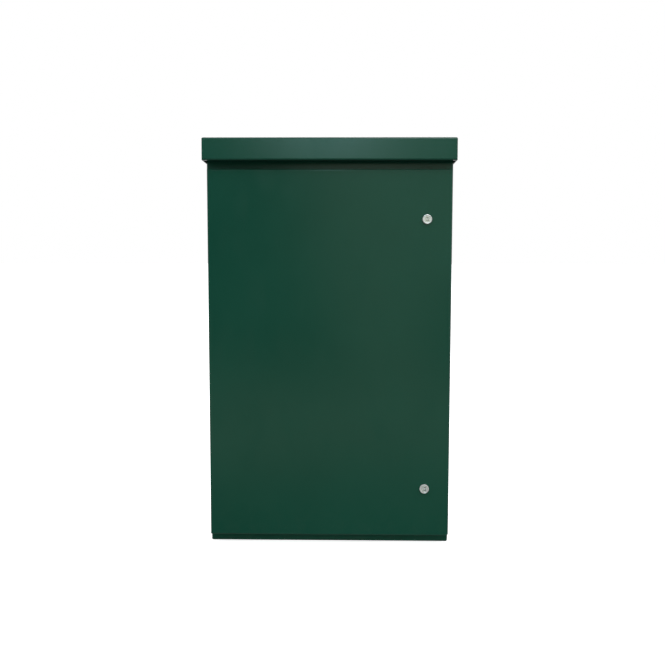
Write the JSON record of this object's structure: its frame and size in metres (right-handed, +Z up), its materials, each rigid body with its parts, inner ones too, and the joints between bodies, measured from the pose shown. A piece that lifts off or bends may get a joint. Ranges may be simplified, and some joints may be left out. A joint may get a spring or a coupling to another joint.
{
  "type": "roadside utility cabinet",
  "caption": "Upright sheet-steel roadside cabinet with a sloping canopy roof, a side-hinged pan door with quarter-turn locks, a base ring and a plywood backboard.",
  "frame": {"origin": "centre of the base on the ground, midway between the four anchor holes", "axes": "+Z up, -Y out of the door, +X to the right seen from the front"},
  "size_m": [0.608, 0.3564, 0.9999],
  "materials": {
    "green_powder_coat": "satin dark green powder coat with a fine texture",
    "zinc_steel": "bright zinc plate",
    "chrome_plate": "polished chrome plate",
    "black_rubber": "matt black rubber",
    "white_nylon": "natural nylon",
    "brass": "plain turned brass",
    "plywood": "unsealed birch plywood"
  },
  "bodies": {
    "cabinet": {"body_wrap": "green_powder_coat", "base_ring": "green_powder_coat", "sill_strip": "green_powder_coat", "header_strip": "green_powder_coat", "top_panel": "green_powder_coat", "roof_canopy": "green_powder_coat", "roof_bar_front": "green_powder_coat", "roof_bar_rear": "green_powder_coat", "floor_plate_front": "green_powder_coat", "floor_plate_rear": "green_powder_coat", "roof_bolts": "zinc_steel", "roof_washers": "zinc_steel", "roof_weld_nuts": "zinc_steel", "slot_edging_front": "black_rubber", "slot_edging_rear": "black_rubber", "floor_screws": "zinc_steel", "floor_weld_nuts": "zinc_steel", "backboard": "plywood", "backboard_spacers": "zinc_steel", "backboard_screws": "zinc_steel", "earth_stud": "brass", "earth_nuts": "brass", "door_seal": "black_rubber", "hinge_body_leaf_lower": "zinc_steel", "hinge_body_leaf_upper": "zinc_steel", "hinge_pin_lower": "zinc_steel", "hinge_pin_upper": "zinc_steel", "hinge_thrust_washers": "white_nylon", "hinge_screws": "zinc_steel", "hinge_screw_nuts": "zinc_steel"},
    "door": {"door_panel": "green_powder_coat", "door_stiffener": "green_powder_coat", "hinge_door_leaf_lower": "zinc_steel", "hinge_door_leaf_upper": "zinc_steel", "door_hinge_studs": "zinc_steel", "door_hinge_nuts": "zinc_steel", "door_earth_stud": "brass", "door_earth_nut": "brass", "lock_housing_lower": "chrome_plate", "lock_housing_upper": "chrome_plate", "lock_gaskets": "black_rubber", "lock_nuts": "zinc_steel"},
    "lock_lower": {"lock_insert_lower": "chrome_plate", "lock_cam_lower": "zinc_steel", "cam_screw_lower": "zinc_steel"},
    "lock_upper": {"lock_insert_upper": "chrome_plate", "lock_cam_upper": "zinc_steel", "cam_screw_upper": "zinc_steel"}
  },
  "joints": [
    {"name": "door_hinge", "type": "hinge", "parent": "cabinet", "child": "door", "pos_m": [-0.2865, -0.166, 0.47625], "axis": [0, 0, -1], "range_deg": [0, 120]},
    {"name": "lock_lower_turn", "type": "hinge", "parent": "door", "child": "lock_lower", "pos_m": [0.2355, -0.178, 0.145], "axis": [0, -1, 0], "range_deg": [0, 90]},
    {"name": "lock_upper_turn", "type": "hinge", "parent": "door", "child": "lock_upper", "pos_m": [0.2355, -0.178, 0.8075], "axis": [0, -1, 0], "range_deg": [0, 90]}
  ]
}
